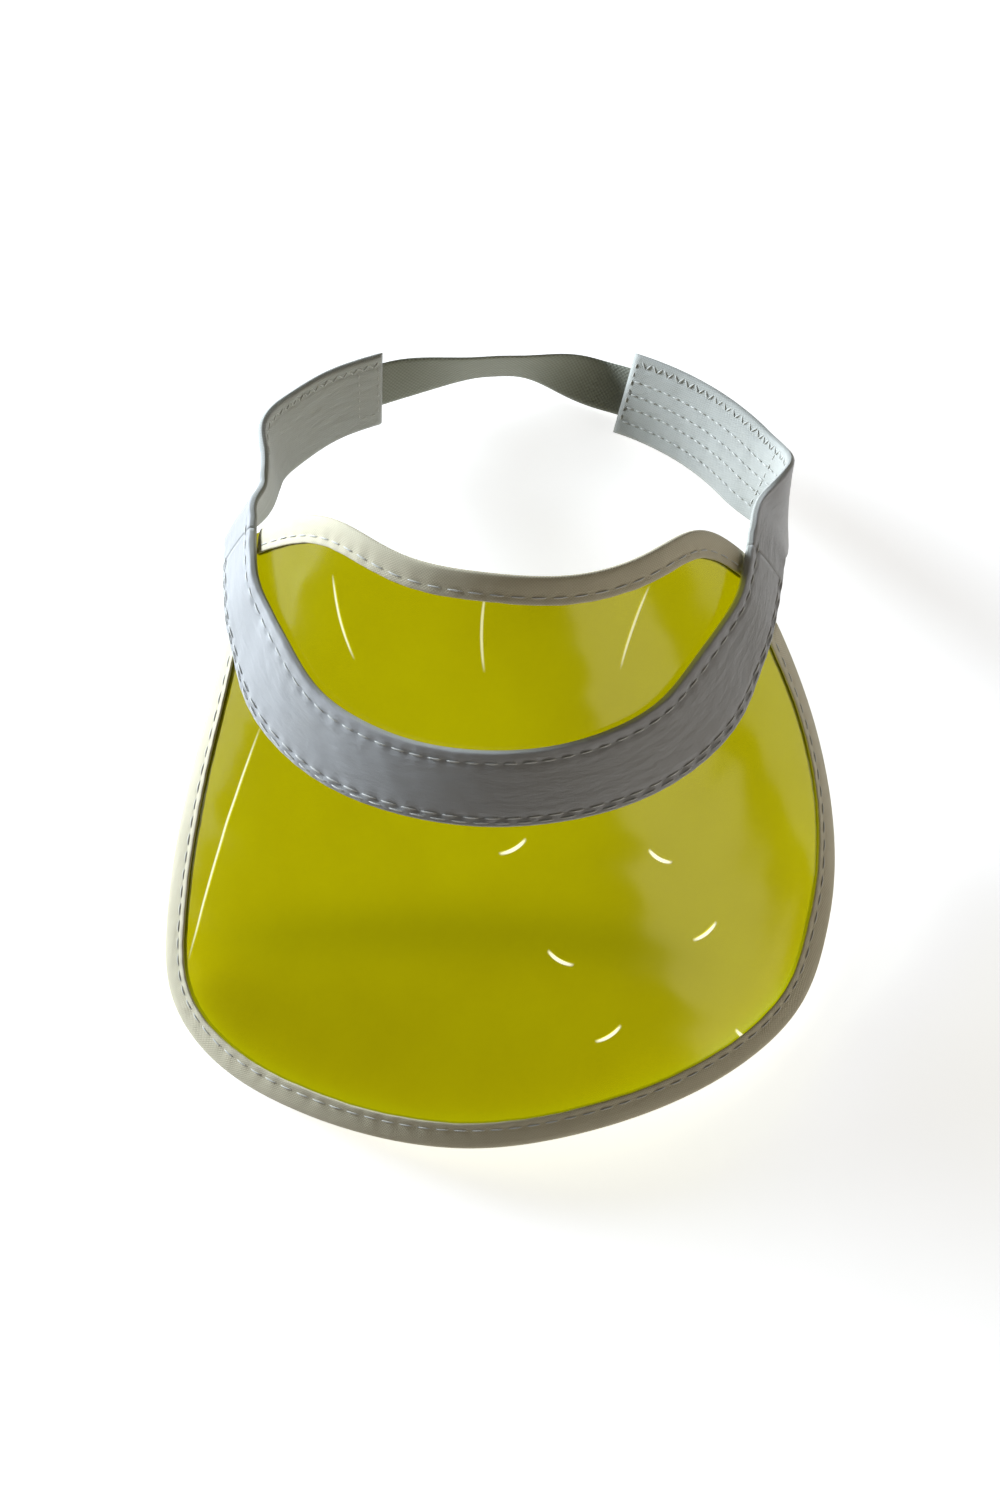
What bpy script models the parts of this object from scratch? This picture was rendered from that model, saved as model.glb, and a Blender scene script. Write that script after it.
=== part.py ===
"""Transparent sun visor: one bound PVC sheet, a padded head band with two rear arms, and a hook strap."""
import math

import bpy
import numpy as np

MM = 0.001

# Cone that the bent sheet lies on, in the frame of the head opening (Z up, front toward -Y).
CONE_HALF_ANGLE = math.radians(33.4)
CONE_LEAN = math.radians(-0.6)
CONE_APEX = np.array([0.0, 16.7, 121.2])
CONE_SLANT = 227.0
# Away from the front the sheet stands slightly more upright below the crown, turning about one slant distance.
TUCK = math.radians(6)
TUCK_SLANT = 145.0
TUCK_SOFT = 8.0
TUCK_FROM = math.radians(52)
TUCK_TO = math.radians(78)
# Tilt that lets the front of the brim and the back of the band stand on one level.
REST_TILT = math.radians(24.2)

# Flat pattern in mm: x to the side, y down the front of the cone. The soft sheet lies fuller on the right.
CROWN_EDGE = [(-99, -130.5), (-90, -133), (-70, -138), (-47.6, -138.5), (-25.8, -132.3), (0, -128.9),
              (27.2, -128.1), (50.5, -132.8), (71.7, -137.6), (87.5, -133.1), (98.5, -126.5)]
BRIM_EDGE = [(-99.5, -120), (-100.4, -97.9), (-103.8, -68.8), (-108.2, -36), (-110, -6.1), (-106, 17),
             (-90.5, 32.3), (-62.4, 42.9), (-31.4, 48.5), (0, 49.4), (29.3, 44.5), (58.6, 36.1), (85.8, 23.9),
             (104, 9), (114.1, -12.5), (121.1, -39.8), (122, -70.6), (112.4, -97.3), (99.5, -117.5)]
# Right-hand halves of the band's two edges.
BAND_TOP = [(0, -77.3), (19.8, -78.8), (37.7, -83.4), (52.7, -90.7), (65.5, -102.4), (80, -115), (90.5, -129),
            (96, -136)]
BAND_LOW = [(0, -53.9), (24.4, -55.8), (46.8, -60.9), (65, -69), (79.6, -79.8), (91, -95), (103, -113.5),
            (110.5, -123.5)]

SHEET_THICK = 0.5
TAPE_THICK = 0.5
TAPE_WIDTH = 7.6
BIND_END = 0.955
FABRIC_GAP = 0.3
SIDE_GAP = 0.4
COVER_THICK = 0.5
FOAM_THICK = 1.2
LINING_THICK = 0.5
BAND_THICK = COVER_THICK + FOAM_THICK + LINING_THICK + 2 * FABRIC_GAP
BAND_WIDTH = 27.0
BAND_LIFT = SHEET_THICK / 2 + FABRIC_GAP
TIP_RISE = 1.55
TIP_START = 0.7
TIP_END = 0.84
THREAD_SIZE = 0.4
# Seam rows: distance across from the middle of the band, and the inset of a row from a bound edge.
UPPER_ROW = 8.7
LOWER_ROW = -9.9
EDGE_ROW = -11.5
FRONT_ROW_SPAN = 0.985
LEFT_ARM_ROWS = (8.5,)
RIGHT_ARM_ROWS = (9.5, 5.0, 0.5, -4.0, -8.5)
ARM_ROW_FIRST = 15
ARM_ROW_LAST = -2
BIND_ROW_INSET = 5.6
PILE_STATIONS = 12
TEMPLE_LOOK_BACK = 0.96

# Rear arms run round the vertical line midway between the two temple hinges.
HINGE_GAP = 1.0
BEND_LEAD = 3.0
REAR_RADIUS = 90.3
REAR_START = math.radians(54)
RIGHT_END = math.radians(22)
RIGHT_FLARE = math.radians(40)
RIGHT_HEIGHT = -10.0
RIGHT_BEND = [(83.6, 27, 0), (86, 43, -6)]
LEFT_FLARE = math.radians(7)
LEFT_PATH = [(-77.6, 25.5, 2.2), (-75.4, 33.5, 3.2), (-76, 44, 4.4), (-71, 60.5, 1), (-60, 76, -2),
             (-45.5, 87.8, -4.8)]

STRAP_WIDTH = 16.0
STRAP_THICK = 1.0
STRAP_ROOT_STATIONS = 6
STRAP_SPLIT = 0.4
STRAP_JOIN = math.radians(19)
STRAP_BOW = [(-20, 98.5, -5), (10, 102.5, -8)]
STRAP_LEAN = math.radians(-24)
LEAN_FROM_ARM = (0.0, 0.45)
LEAN_TO_PILE = (0.55, 1.0)
STRAP_FREE_END = math.radians(47.5)
PILE_THICK = 0.8
PILE_CLEARANCE = 0.6
LOOP_FROM = math.radians(23.5)
LOOP_TO = math.radians(53.5)
LOOP_WIDTH = 21.0
HOOK_FROM = math.radians(29)
HOOK_TO = math.radians(46)
HOOK_WIDTH = 14.0

SHEET_STATIONS = 64
SHEET_ROWS = 14
BAND_STATIONS = 48
ARM_STATIONS = 38
ARM_BEND_STATIONS = 18
STRAP_STATIONS = 24


def smooth_curve(points, t):
    """Natural cubic spline through points, at fractions t of its chord length."""
    pts = np.array(points, float)
    chord = np.concatenate([[0.0], np.cumsum(np.linalg.norm(np.diff(pts, axis=0), axis=1))])
    count = len(pts)
    step = np.diff(chord)
    matrix = np.eye(count)
    right = np.zeros_like(pts)
    for i in range(1, count - 1):
        matrix[i, i - 1] = step[i - 1]
        matrix[i, i] = 2 * (step[i - 1] + step[i])
        matrix[i, i + 1] = step[i]
        right[i] = 6 * ((pts[i + 1] - pts[i]) / step[i] - (pts[i] - pts[i - 1]) / step[i - 1])
    bend = np.linalg.solve(matrix, right)
    s = np.clip(np.asarray(t, float), 0, 1) * chord[-1]
    k = np.clip(np.searchsorted(chord, s, side="right") - 1, 0, count - 2)
    h = step[k][..., None]
    a = (chord[k + 1] - s)[..., None]
    b = (s - chord[k])[..., None]
    curve = bend[k] * a ** 3 / (6 * h) + bend[k + 1] * b ** 3 / (6 * h)
    curve += (pts[k] / h - bend[k] * h / 6) * a
    curve += (pts[k + 1] / h - bend[k + 1] * h / 6) * b
    return curve


def mirrored(points):
    left = [(-x, y) for x, y in reversed(points[1:])]
    return left + list(points)


def smooth_step(x, low, high):
    t = np.clip((x - low) / (high - low), 0, 1)
    return t * t * (3 - 2 * t)


def cone_point(flat, lift):
    """Place a point of the flat pattern on the bent sheet, lifted along the outward normal."""
    x = flat[0]
    y = flat[1] + CONE_SLANT
    slant = math.hypot(x, y)
    turn = math.atan2(x, y) / math.sin(CONE_HALF_ANGLE)
    up = np.array([0.0, math.sin(CONE_LEAN), math.cos(CONE_LEAN)])
    ahead = np.array([0.0, -math.cos(CONE_LEAN), math.sin(CONE_LEAN)])
    outward = math.cos(turn) * ahead + math.sin(turn) * np.array([1.0, 0.0, 0.0])
    fixed = math.sin(CONE_HALF_ANGLE) * outward - math.cos(CONE_HALF_ANGLE) * up
    tuck = TUCK * smooth_step(abs(turn), TUCK_FROM, TUCK_TO)
    leaning = math.sin(CONE_HALF_ANGLE - tuck) * outward - math.cos(CONE_HALF_ANGLE - tuck) * up
    past = slant - TUCK_SLANT
    if abs(past) < TUCK_SOFT:
        turned = (past + TUCK_SOFT) ** 2 / (4 * TUCK_SOFT)
    else:
        turned = max(past, 0.0)
    share = min(max((past + TUCK_SOFT) / (2 * TUCK_SOFT), 0.0), 1.0)
    facing = CONE_HALF_ANGLE - tuck * share
    normal = math.cos(facing) * outward + math.sin(facing) * up
    return CONE_APEX + (slant - turned) * fixed + turned * leaning + lift * normal


def front_point(u, across, lift):
    """Point of the front band: u from -1 (left temple) to 1, across in mm up from the middle."""
    t = (u + 1) / 2
    top = smooth_curve(mirrored(BAND_TOP), t)
    low = smooth_curve(mirrored(BAND_LOW), t)
    share = 0.5 - across / BAND_WIDTH
    rise = TIP_RISE * smooth_step(abs(u), TIP_START, TIP_END)
    return cone_point(top + (low - top) * share, BAND_LIFT + rise + lift)


def unit(vector):
    return vector / np.linalg.norm(vector)


def temple(side):
    """Middle, upward cross direction and centre-line direction of the band's end at one temple."""
    mid = front_point(side, 0, BAND_THICK / 2)
    half = BAND_WIDTH / 2
    cross = front_point(side, half, BAND_THICK / 2) - front_point(side, -half, BAND_THICK / 2)
    cross = unit(cross)
    ahead = unit(mid - front_point(side * TEMPLE_LOOK_BACK, 0, BAND_THICK / 2))
    ahead = unit(ahead - cross * (ahead @ cross))
    return mid, cross, ahead


HINGE_RIGHT = temple(1)[0] + temple(1)[2] * HINGE_GAP / 2
REAR_CENTRE_Y = HINGE_RIGHT[1]


def rear_frame(angle, extra):
    """Station on the right rear circle; angle is measured from straight back toward +X."""
    up = np.array([0.0, 0.0, 1.0])
    outward = np.array([math.sin(angle), math.cos(angle), 0.0])
    cross = math.cos(RIGHT_FLARE) * up + math.sin(RIGHT_FLARE) * outward
    normal = math.cos(RIGHT_FLARE) * outward - math.sin(RIGHT_FLARE) * up
    mid = np.array([0.0, REAR_CENTRE_Y, RIGHT_HEIGHT]) + outward * REAR_RADIUS + normal * extra
    return mid, cross, normal


def widened(frames):
    """Let the band grow from its narrower sewn end to its full width."""
    half = BAND_WIDTH / 2
    sewn = np.linalg.norm(front_point(1, half, BAND_THICK / 2) - front_point(1, -half, BAND_THICK / 2))
    first = sewn / BAND_WIDTH
    result = []
    for i, (mid, cross, normal) in enumerate(frames):
        share = smooth_step(i / ARM_STATIONS, 0.0, 0.3)
        result.append((mid, cross * (first + (1 - first) * share), normal))
    return result


def framed(path, crosses, side):
    """Stations from centre points and rough cross directions, squared up to the path."""
    frames = []
    for i, point in enumerate(path):
        tangent = unit(path[min(i + 1, len(path) - 1)] - path[max(i - 1, 0)])
        cross = unit(crosses[i] - tangent * (crosses[i] @ tangent))
        frames.append((point, cross, unit(np.cross(tangent, cross)) * side))
    return frames


def right_arm_frames():
    """Stations of the right arm: a bend out of the temple, then the rear circle."""
    mid, cross, ahead = temple(1)
    start = mid + ahead * HINGE_GAP
    join, join_cross, _ = rear_frame(REAR_START, 0)
    along = np.array([-math.cos(REAR_START), math.sin(REAR_START), 0.0])
    points = [start, start + ahead * BEND_LEAD] + RIGHT_BEND + [join - along * BEND_LEAD, join]
    share = np.linspace(0, 1, ARM_BEND_STATIONS + 1)
    path = list(smooth_curve(points, share))
    crosses = [cross + (join_cross - cross) * smooth_step(s, 0, 1) for s in share]
    frames = framed(path, crosses, 1)[:-1]
    for angle in np.linspace(REAR_START, RIGHT_END, ARM_STATIONS - ARM_BEND_STATIONS + 1):
        frames.append(rear_frame(angle, 0))
    return widened(frames)


def left_arm_frames():
    """Stations of the left arm along its own softer path."""
    mid, cross, ahead = temple(-1)
    start = mid + ahead * HINGE_GAP
    points = [start, start + ahead * BEND_LEAD] + LEFT_PATH
    path = smooth_curve(points, np.linspace(0, 1, ARM_STATIONS + 1))
    crosses = []
    for i, point in enumerate(path):
        outward = unit(np.array([point[0], point[1], 0.0]))
        flared = math.cos(LEFT_FLARE) * np.array([0.0, 0.0, 1.0]) + math.sin(LEFT_FLARE) * outward
        crosses.append(cross + (flared - cross) * smooth_step(i / ARM_STATIONS, 0.0, 0.4))
    return widened(framed(list(path), crosses, -1))


def arm_frames(side):
    return right_arm_frames() if side > 0 else left_arm_frames()


def shifted(frames, extra):
    return [(m + n * extra, c, n) for m, c, n in frames]


def strap_frames():
    """Stations of the strap from the left arm's end, over the gap, to its free end on the pile."""
    near = BAND_THICK / 2 + FABRIC_GAP + STRAP_THICK / 2
    far = BAND_THICK / 2 + 2 * FABRIC_GAP + 2 * PILE_THICK + PILE_CLEARANCE + STRAP_THICK / 2
    tail = shifted(left_arm_frames(), near)
    leave = unit(tail[-1][0] - tail[-2][0])
    start = tail[-1][0] + leave * STRAP_SPLIT
    join, join_cross, _ = rear_frame(STRAP_JOIN, far)
    along = np.array([math.cos(STRAP_JOIN), -math.sin(STRAP_JOIN), 0.0])
    points = [start, start + leave * BEND_LEAD] + STRAP_BOW + [join - along * BEND_LEAD, join]
    share = np.linspace(0, 1, STRAP_STATIONS // 2 + 1)
    path = list(smooth_curve(points, share))
    crosses = []
    for s, point in zip(share, path):
        outward = unit(np.array([point[0], point[1] - REAR_CENTRE_Y, 0.0]))
        middle = math.cos(STRAP_LEAN) * np.array([0.0, 0.0, 1.0]) + math.sin(STRAP_LEAN) * outward
        cross = tail[-1][1] + (middle - tail[-1][1]) * smooth_step(s, *LEAN_FROM_ARM)
        crosses.append(cross + (join_cross - cross) * smooth_step(s, *LEAN_TO_PILE))
    frames = framed(path, crosses, -1)[:-1]
    for angle in np.linspace(STRAP_JOIN, STRAP_FREE_END, STRAP_STATIONS // 2 + 1):
        frames.append(rear_frame(angle, far))
    return frames


def pile_frames(first, last):
    return [rear_frame(angle, 0) for angle in np.linspace(first, last, PILE_STATIONS + 1)]


def tilt(points):
    c = math.cos(REST_TILT)
    s = math.sin(REST_TILT)
    turn = np.array([[1, 0, 0], [0, c, s], [0, -s, c]])
    return np.asarray(points) @ turn.T


def build_object(name, verts, faces, colour, roughness, origin=(0, 0, 0), alpha=1.0):
    place = tilt(np.array([origin], float))[0] * MM
    coords = tilt(np.array(verts, float)) * MM - place
    mesh = bpy.data.meshes.new(name)
    mesh.from_pydata([tuple(v) for v in coords], [], faces)
    mesh.update()
    obj = bpy.data.objects.new(name, mesh)
    obj.location = tuple(place)
    bpy.context.scene.collection.objects.link(obj)
    material = bpy.data.materials.new(name + "_material")
    material.use_nodes = True
    shader = material.node_tree.nodes["Principled BSDF"]
    shader.inputs["Base Color"].default_value = (*colour, 1.0)
    shader.inputs["Roughness"].default_value = roughness
    shader.inputs["Alpha"].default_value = alpha
    mesh.materials.append(material)
    return obj


def sweep(rings, half):
    """Faces of a closed body swept through rings; each ring holds an outer then an inner row of half points."""
    count = 2 * half
    verts = [p for ring in rings for p in ring]
    faces = []
    for i in range(len(rings) - 1):
        for j in range(count):
            a = i * count + j
            b = i * count + (j + 1) % count
            faces.append((a, b, b + count, a + count))
    for base, flip in ((0, True), ((len(rings) - 1) * count, False)):
        for j in range(half - 1):
            quad = (base + j, base + j + 1, base + count - 2 - j, base + count - 1 - j)
            faces.append(quad[::-1] if flip else quad)
    return verts, faces


def outward_faces(verts, faces):
    """Turn every face the same way out, judged by the signed volume."""
    v = np.array(verts)
    total = 0.0
    for face in faces:
        for k in range(1, len(face) - 1):
            total += np.dot(v[face[0]], np.cross(v[face[k]], v[face[k + 1]]))
    if total < 0:
        return [tuple(reversed(face)) for face in faces]
    return faces


def add_sweep(name, rings, half, colour, roughness, origin=(0, 0, 0), alpha=1.0):
    verts, faces = sweep(rings, half)
    return build_object(name, verts, outward_faces(verts, faces), colour, roughness, origin, alpha)


def bar(half_width, low, high, pieces):
    """Profile of a flat strip: outer row then inner row of (across, lift)."""
    span = np.linspace(-half_width, half_width, pieces + 1)
    outer = [(a, high) for a in span]
    inner = [(a, low) for a in reversed(span)]
    return outer + inner, pieces + 1


def cover_profile(pieces):
    """Profile of the outer cover: a shallow channel that wraps the long edges of the band."""
    half = BAND_WIDTH / 2
    bevel = 0.4
    inside = half - COVER_THICK
    roof = BAND_THICK - COVER_THICK
    outer = [(-half, 0), (-half, BAND_THICK - bevel), (-half + bevel, BAND_THICK)]
    inner = [(-inside, 0), (-inside, roof - bevel), (-inside + 0.1, roof)]
    for a in np.linspace(-inside, inside, pieces + 1)[1:-1]:
        outer.append((a, BAND_THICK))
        inner.append((a, roof))
    outer += [(half - bevel, BAND_THICK), (half, BAND_THICK - bevel), (half, 0)]
    inner += [(inside - 0.1, roof), (inside, roof - bevel), (inside, 0)]
    return outer + inner[::-1], len(outer)


def frame_rings(frames, profile, middle):
    """Rings of a profile carried along arm or strap stations; middle is the lift of the centre line."""
    return [[m + c * a + n * (b - middle) for a, b in profile] for m, c, n in frames]


def front_rings(profile, first=-1.0, last=1.0, stations=BAND_STATIONS):
    return [[front_point(u, a, b) for a, b in profile] for u in np.linspace(first, last, stations + 1)]


def edge_stations(points, limit):
    """Edge points and inward unit directions in the flat pattern, up to a share of the half outline."""
    ts = np.linspace(0.5 - limit / 2, 0.5 + limit / 2, SHEET_STATIONS + 1)
    edge = smooth_curve(points, ts)
    step = smooth_curve(points, ts + 0.001) - smooth_curve(points, ts - 0.001)
    side = np.stack([-step[:, 1], step[:, 0]], 1)
    side /= np.linalg.norm(side, axis=1)[:, None]
    return edge, side


def make_sheet():
    us = np.linspace(0, 1, SHEET_STATIONS + 1)
    crown = smooth_curve(CROWN_EDGE, us)
    brim = smooth_curve(BRIM_EDGE, us)
    profile = [(v, SHEET_THICK / 2) for v in np.linspace(0, 1, SHEET_ROWS + 1)]
    profile += [(v, -SHEET_THICK / 2) for v in np.linspace(1, 0, SHEET_ROWS + 1)]
    rings = [[cone_point(c + (b - c) * v, lift) for v, lift in profile] for c, b in zip(crown, brim)]
    add_sweep("visor_sheet", rings, SHEET_ROWS + 1, (0.8, 0.8, 0.05), 0.1, alpha=0.45)


def make_binding(name, points, inward, limit, colour):
    slot = SHEET_THICK / 2 + FABRIC_GAP
    back = slot + TAPE_THICK
    nose = FABRIC_GAP + TAPE_THICK
    outer = [(TAPE_WIDTH, back), (TAPE_WIDTH / 2, back), (-0.2, back), (-nose, 0.45)]
    inner = [(TAPE_WIDTH, slot), (TAPE_WIDTH / 2, slot), (0, slot), (-FABRIC_GAP, 0.2)]
    outer += [(a, -b) for a, b in reversed(outer)]
    inner += [(a, -b) for a, b in reversed(inner)]
    profile = outer + inner[::-1]
    edge, side = edge_stations(points, limit)
    rings = [[cone_point(e + s * inward * a, b) for a, b in profile] for e, s in zip(edge, side)]
    add_sweep(name, rings, len(outer), colour, 0.7)


def make_binding_thread(name, points, inward, limit):
    low = SHEET_THICK / 2 + FABRIC_GAP + TAPE_THICK + FABRIC_GAP
    row = BIND_ROW_INSET
    profile = [(row, low + THREAD_SIZE), (row - THREAD_SIZE, low + THREAD_SIZE)]
    profile += [(row - THREAD_SIZE, low), (row, low)]
    edge, side = edge_stations(points, limit)
    rings = [[cone_point(e + s * inward * a, b) for a, b in profile] for e, s in zip(edge, side)]
    add_sweep(name, rings, 2, (0.9, 0.9, 0.85), 0.8)


def thread_profile(across, lift):
    a = across - THREAD_SIZE / 2
    b = across + THREAD_SIZE / 2
    return [(a, lift + THREAD_SIZE), (b, lift + THREAD_SIZE), (b, lift), (a, lift)]


WHITE = (0.85, 0.85, 0.83)
CREAM = (0.86, 0.84, 0.76)
THREAD = (0.92, 0.92, 0.88)
STRAP_GREY = (0.7, 0.72, 0.66)


def layer_profiles():
    """Cover, foam and lining profiles with a running gap between each pair."""
    inside = BAND_WIDTH / 2 - COVER_THICK - SIDE_GAP
    foam_low = LINING_THICK + FABRIC_GAP
    return {
        "cover": cover_profile(4),
        "foam": bar(inside, foam_low, foam_low + FOAM_THICK, 4),
        "lining": bar(inside, 0.0, LINING_THICK, 4),
    }


LAYER_LOOKS = {"cover": (WHITE, 0.6), "foam": (CREAM, 0.95), "lining": (CREAM, 0.85)}


def make_front_band():
    for part, (profile, half) in layer_profiles().items():
        colour, rough = LAYER_LOOKS[part]
        add_sweep("front_band_" + part, front_rings(profile), half, colour, rough)
    lift = BAND_THICK + FABRIC_GAP
    rows = {
        "band_upper_thread": UPPER_ROW,
        "band_lower_thread": LOWER_ROW,
        "band_edge_thread": EDGE_ROW,
    }
    for name, across in rows.items():
        rings = front_rings(thread_profile(across, lift), -FRONT_ROW_SPAN, FRONT_ROW_SPAN)
        add_sweep(name, rings, 2, THREAD, 0.8)


def make_arm(side):
    word = "right" if side > 0 else "left"
    frames = arm_frames(side)
    origin = hinge_point(side)
    for part, (profile, half) in layer_profiles().items():
        colour, rough = LAYER_LOOKS[part]
        rings = frame_rings(frames, profile, BAND_THICK / 2)
        add_sweep(word + "_arm_" + part, rings, half, colour, rough, origin)


def hinge_point(side):
    return HINGE_RIGHT * np.array([side, 1, 1])


def make_arm_threads():
    lift = -FABRIC_GAP - THREAD_SIZE
    for side, rows in ((-1, LEFT_ARM_ROWS), (1, RIGHT_ARM_ROWS)):
        frames = arm_frames(side)[ARM_ROW_FIRST:ARM_ROW_LAST]
        word = "right" if side > 0 else "left"
        for i, across in enumerate(rows):
            rings = frame_rings(frames, thread_profile(across, lift), BAND_THICK / 2)
            add_sweep(f"{word}_arm_row_{i + 1}", rings, 2, THREAD, 0.8, hinge_point(side))


def make_strap():
    near = BAND_THICK / 2 + FABRIC_GAP + STRAP_THICK / 2
    root = shifted(left_arm_frames()[-STRAP_ROOT_STATIONS:], near)
    profile, half = bar(STRAP_WIDTH / 2, -STRAP_THICK / 2, STRAP_THICK / 2, 2)
    add_sweep("strap_root", frame_rings(root, profile, 0), half, STRAP_GREY, 0.8, hinge_point(-1))
    pivot = strap_pivot()
    add_sweep("adjuster_strap", frame_rings(strap_frames(), profile, 0), half, STRAP_GREY, 0.8, pivot)
    low = BAND_THICK / 2 + FABRIC_GAP
    profile, half = bar(LOOP_WIDTH / 2, low, low + PILE_THICK, 2)
    loop = frame_rings(pile_frames(LOOP_FROM, LOOP_TO), profile, 0)
    add_sweep("loop_panel", loop, half, (0.8, 0.8, 0.77), 0.95, hinge_point(1))
    low += PILE_THICK + PILE_CLEARANCE
    profile, half = bar(HOOK_WIDTH / 2, low, low + PILE_THICK, 2)
    hook = frame_rings(pile_frames(HOOK_FROM, HOOK_TO), profile, 0)
    add_sweep("hook_patch", hook, half, (0.75, 0.75, 0.7), 0.9, pivot)


def strap_pivot():
    """Point on the outer face, midway in the cut between the sewn root and the loose strap."""
    start, _, normal = strap_frames()[0]
    near = BAND_THICK / 2 + FABRIC_GAP + STRAP_THICK / 2
    return (start + shifted(left_arm_frames(), near)[-1][0]) / 2 + normal * STRAP_THICK / 2


def clear_scene():
    for obj in list(bpy.data.objects):
        bpy.data.objects.remove(obj, do_unlink=True)


def main():
    clear_scene()
    make_sheet()
    make_binding("brim_binding", BRIM_EDGE, -1, BIND_END, WHITE)
    make_binding("crown_binding", CROWN_EDGE, 1, BIND_END, WHITE)
    make_binding_thread("brim_binding_thread", BRIM_EDGE, -1, BIND_END - 0.01)
    make_binding_thread("crown_binding_thread", CROWN_EDGE, 1, BIND_END - 0.01)
    make_front_band()
    make_arm(-1)
    make_arm(1)
    make_arm_threads()
    make_strap()


main()
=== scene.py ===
"""Looks of the transparent sun visor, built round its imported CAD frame."""
import math

import bpy
import numpy as np
from mathutils import Matrix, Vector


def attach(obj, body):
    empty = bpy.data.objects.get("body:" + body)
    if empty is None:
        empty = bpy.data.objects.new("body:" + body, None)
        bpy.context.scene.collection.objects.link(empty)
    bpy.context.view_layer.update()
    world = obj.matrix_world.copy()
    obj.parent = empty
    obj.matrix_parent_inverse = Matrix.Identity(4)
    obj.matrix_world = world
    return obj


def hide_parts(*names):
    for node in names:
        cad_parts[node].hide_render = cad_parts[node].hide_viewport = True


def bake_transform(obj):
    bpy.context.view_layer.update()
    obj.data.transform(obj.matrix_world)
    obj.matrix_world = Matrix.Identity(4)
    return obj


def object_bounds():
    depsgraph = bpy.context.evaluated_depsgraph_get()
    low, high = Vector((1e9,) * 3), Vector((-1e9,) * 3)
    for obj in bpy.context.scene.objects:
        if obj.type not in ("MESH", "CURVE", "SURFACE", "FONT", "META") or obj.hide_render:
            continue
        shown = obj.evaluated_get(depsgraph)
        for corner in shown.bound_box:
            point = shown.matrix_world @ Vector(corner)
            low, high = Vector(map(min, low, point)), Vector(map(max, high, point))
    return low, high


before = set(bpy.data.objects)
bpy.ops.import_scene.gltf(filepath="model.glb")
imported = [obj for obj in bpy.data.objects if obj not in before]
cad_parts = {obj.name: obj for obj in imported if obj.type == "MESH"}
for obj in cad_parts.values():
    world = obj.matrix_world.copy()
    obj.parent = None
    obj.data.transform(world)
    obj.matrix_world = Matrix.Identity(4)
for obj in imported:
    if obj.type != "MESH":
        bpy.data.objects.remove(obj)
cad_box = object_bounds()

MM = 0.001

# ---------------------------------------------------------------- dimensions, the same as the CAD's (mm)
CONE_HALF_ANGLE = math.radians(33.4)
CONE_LEAN = math.radians(-0.6)
CONE_APEX = np.array([0.0, 16.7, 121.2])
CONE_SLANT = 227.0
# Away from the front the sheet stands more upright below the crown, turning about one slant distance.
TUCK = math.radians(6)
TUCK_SLANT = 145.0
TUCK_SOFT = 8.0
TUCK_FROM = math.radians(52)
TUCK_TO = math.radians(78)
# Tilt that lets the front of the brim and the back of the band stand on one level.
REST_TILT = math.radians(24.2)

# Flat pattern in mm: x to the side, y down the front of the cone.
# The sheet's outline is skewed: it is fuller along its right side and at its lower left.
# The points of these four outlines were fitted to the photo's outlines by a scratch program, then rounded.
CROWN_EDGE = [(-99, -130.5), (-90, -133), (-70, -138), (-47.6, -138.5), (-25.8, -132.3), (0, -128.9),
              (27.2, -128.1), (50.5, -132.8), (71.7, -137.6), (87.5, -133.1), (98.5, -126.5)]
BRIM_EDGE = [(-99.5, -120), (-100.4, -97.9), (-103.8, -68.8), (-108.2, -36), (-110, -6.1), (-106, 17),
             (-90.5, 32.3), (-62.4, 42.9), (-31.4, 48.5), (0, 49.4), (29.3, 44.5), (58.6, 36.1), (85.8, 23.9),
             (104, 9), (114.1, -12.5), (121.1, -39.8), (122, -70.6), (112.4, -97.3), (99.5, -117.5)]
# Right-hand halves of the band's two edges.
BAND_TOP = [(0, -77.3), (19.8, -78.8), (37.7, -83.4), (52.7, -90.7), (65.5, -102.4), (80, -115), (90.5, -129),
            (96, -136)]
BAND_LOW = [(0, -53.9), (24.4, -55.8), (46.8, -60.9), (65, -69), (79.6, -79.8), (91, -95), (103, -113.5),
            (110.5, -123.5)]
SHEET_THICK = 0.5
TAPE_THICK = 0.5
TAPE_WIDTH = 7.6
BIND_END = 0.955
FABRIC_GAP = 0.3
BAND_THICK = 2.8
BAND_WIDTH = 27.0
BAND_LIFT = SHEET_THICK / 2 + FABRIC_GAP
TIP_RISE = 1.55
TIP_START = 0.7
TIP_END = 0.84
HINGE_GAP = 1.0
TEMPLE_LOOK_BACK = 0.96
BEND_LEAD = 3.0
REAR_RADIUS = 90.3
REAR_START = math.radians(54)
RIGHT_END = math.radians(22)
RIGHT_FLARE = math.radians(40)
RIGHT_HEIGHT = -10.0
RIGHT_BEND = [(83.6, 27, 0), (86, 43, -6)]
LEFT_FLARE = math.radians(7)
LEFT_PATH = [(-77.6, 25.5, 2.2), (-75.4, 33.5, 3.2), (-76, 44, 4.4), (-71, 60.5, 1), (-60, 76, -2),
             (-45.5, 87.8, -4.8)]
STRAP_WIDTH = 16.0
STRAP_THICK = 1.0
STRAP_ROOT_STATIONS = 6
STRAP_SPLIT = 0.4
STRAP_JOIN = math.radians(19)
STRAP_BOW = [(-20, 98.5, -5), (10, 102.5, -8)]
STRAP_LEAN = math.radians(-24)
LEAN_FROM_ARM = (0.0, 0.45)
LEAN_TO_PILE = (0.55, 1.0)
STRAP_FREE_END = math.radians(47.5)
PILE_THICK = 0.8
PILE_CLEARANCE = 0.6
LOOP_FROM = math.radians(23.5)
LOOP_TO = math.radians(53.5)
LOOP_WIDTH = 21.0
HOOK_FROM = math.radians(29)
HOOK_TO = math.radians(46)
HOOK_WIDTH = 14.0
ARM_STATIONS = 38
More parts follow.
